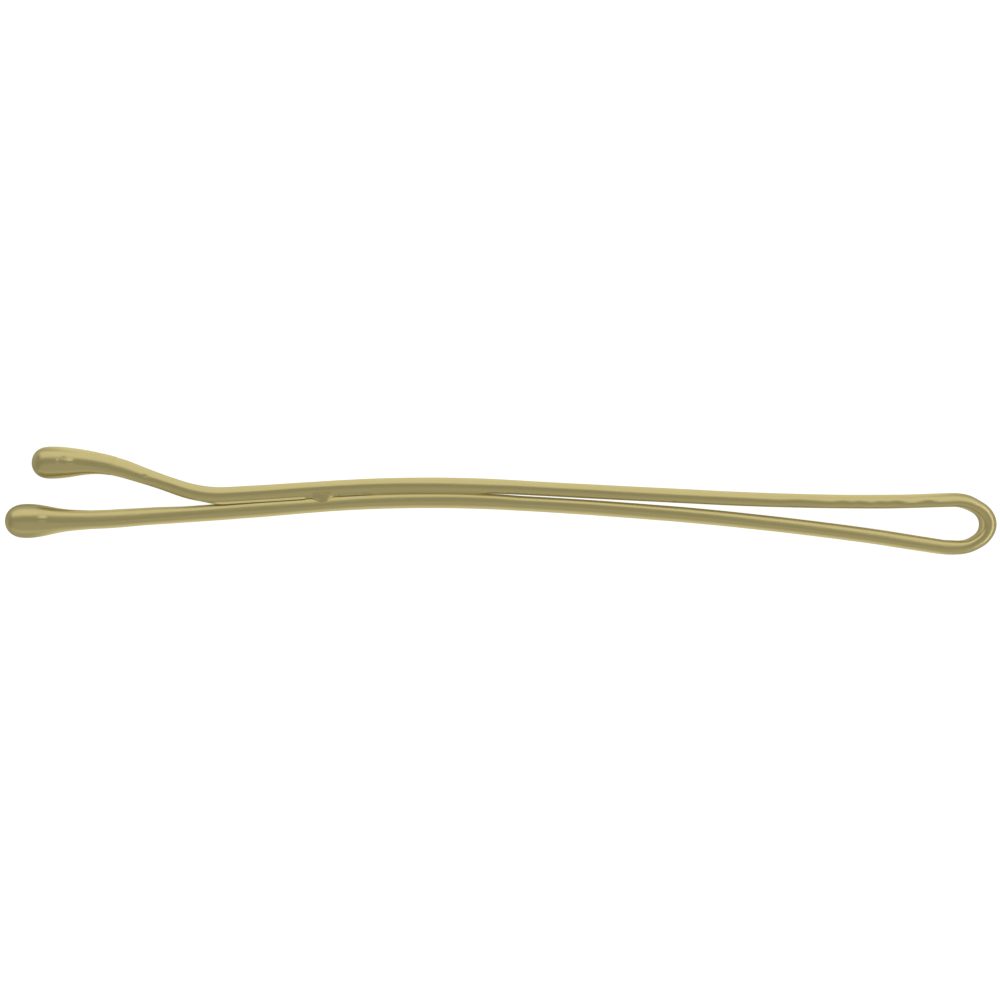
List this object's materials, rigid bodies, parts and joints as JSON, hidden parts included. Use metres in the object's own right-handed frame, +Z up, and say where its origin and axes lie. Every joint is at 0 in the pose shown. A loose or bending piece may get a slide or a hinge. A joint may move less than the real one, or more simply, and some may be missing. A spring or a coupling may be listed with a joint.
{
  "type": "bobby pin",
  "caption": "Straight hair pin of flat lacquered spring wire, folded into a level leg and a flared leg that press together, with a round resin bead on each tip.",
  "frame": {"origin": "middle of the pin's base as it lies on its side: the centre of the bounding box in X and Y, at the lowest point of the beads", "axes": "+X along the pin towards the bend, with both tips at -X; +Y in the plane of the pin towards the flared upper leg; +Z up, across the width of the wire"},
  "size_m": [0.06, 0.0066, 0.0021],
  "materials": {
    "spring_wire": "bright rolled spring steel, under the lacquer",
    "gold_lacquer": "baked metallic lacquer, pale olive gold, satin gloss",
    "gold_resin": "dipped resin in the same pale olive gold, satin gloss"
  },
  "bodies": {
    "lower_leg": {"lower_leg_wire": "spring_wire", "lower_leg_lacquer": "gold_lacquer", "lower_tip_bead": "gold_resin", "bend_wire": "spring_wire", "bend_lacquer": "gold_lacquer"},
    "upper_leg": {"upper_leg_wire": "spring_wire", "upper_leg_lacquer": "gold_lacquer", "upper_tip_bead": "gold_resin"}
  },
  "joints": [
    {"name": "leg_spread", "type": "hinge", "parent": "lower_leg", "child": "upper_leg", "pos_m": [0.02841, -0.00144, 0.00103], "axis": [0, 0, -1], "range_deg": [0, 15], "stiffness_Nm_per_rad": 0.19, "deforming": ["bend_wire", "bend_lacquer"]}
  ]
}
